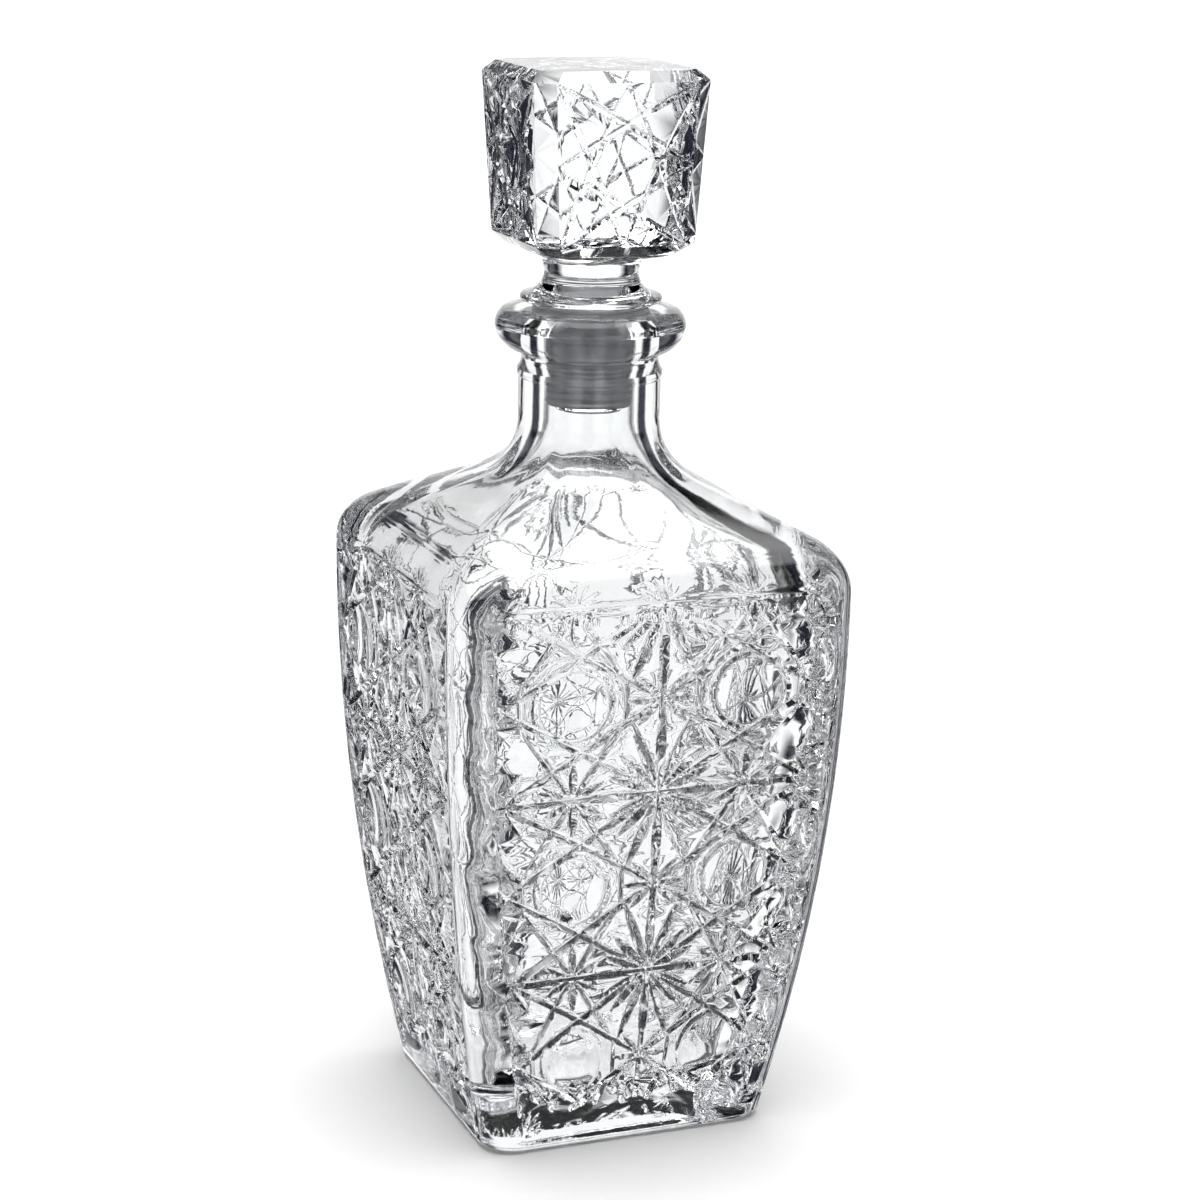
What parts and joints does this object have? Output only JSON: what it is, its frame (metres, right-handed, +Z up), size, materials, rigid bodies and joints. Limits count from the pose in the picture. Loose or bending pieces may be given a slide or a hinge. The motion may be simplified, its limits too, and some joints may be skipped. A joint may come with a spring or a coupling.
{
  "type": "cut glass decanter",
  "caption": "Square tapering cut-glass decanter with a round collar, star and bull's-eye cuts, and a square faceted stopper that lifts out on a ribbed seal.",
  "frame": {"origin": "middle of the base, on the surface the decanter stands on", "axes": "+Z up the bottle to the stopper, X and Y square to the body's faces"},
  "size_m": [0.0982, 0.0982, 0.25],
  "materials": {
    "bottle_glass": "clear pressed and cut crystal glass, fire polished",
    "stopper_glass": "clear solid crystal glass, polished facets",
    "seal_plastic": "translucent grey moulded polyethylene"
  },
  "bodies": {
    "bottle": {"bottle": "bottle_glass"},
    "seal": {"stopper_seal": "seal_plastic"},
    "stopper": {"stopper": "stopper_glass"}
  },
  "joints": [
    {"name": "stopper_lift", "type": "slide", "parent": "bottle", "child": "seal", "axis": [0, 0, 1], "range_m": [0, 0.06]},
    {"name": "stopper_turn", "type": "hinge", "parent": "seal", "child": "stopper", "pos_m": [0, 0, 0.196], "axis": [0, 0, 1], "continuous": true}
  ]
}
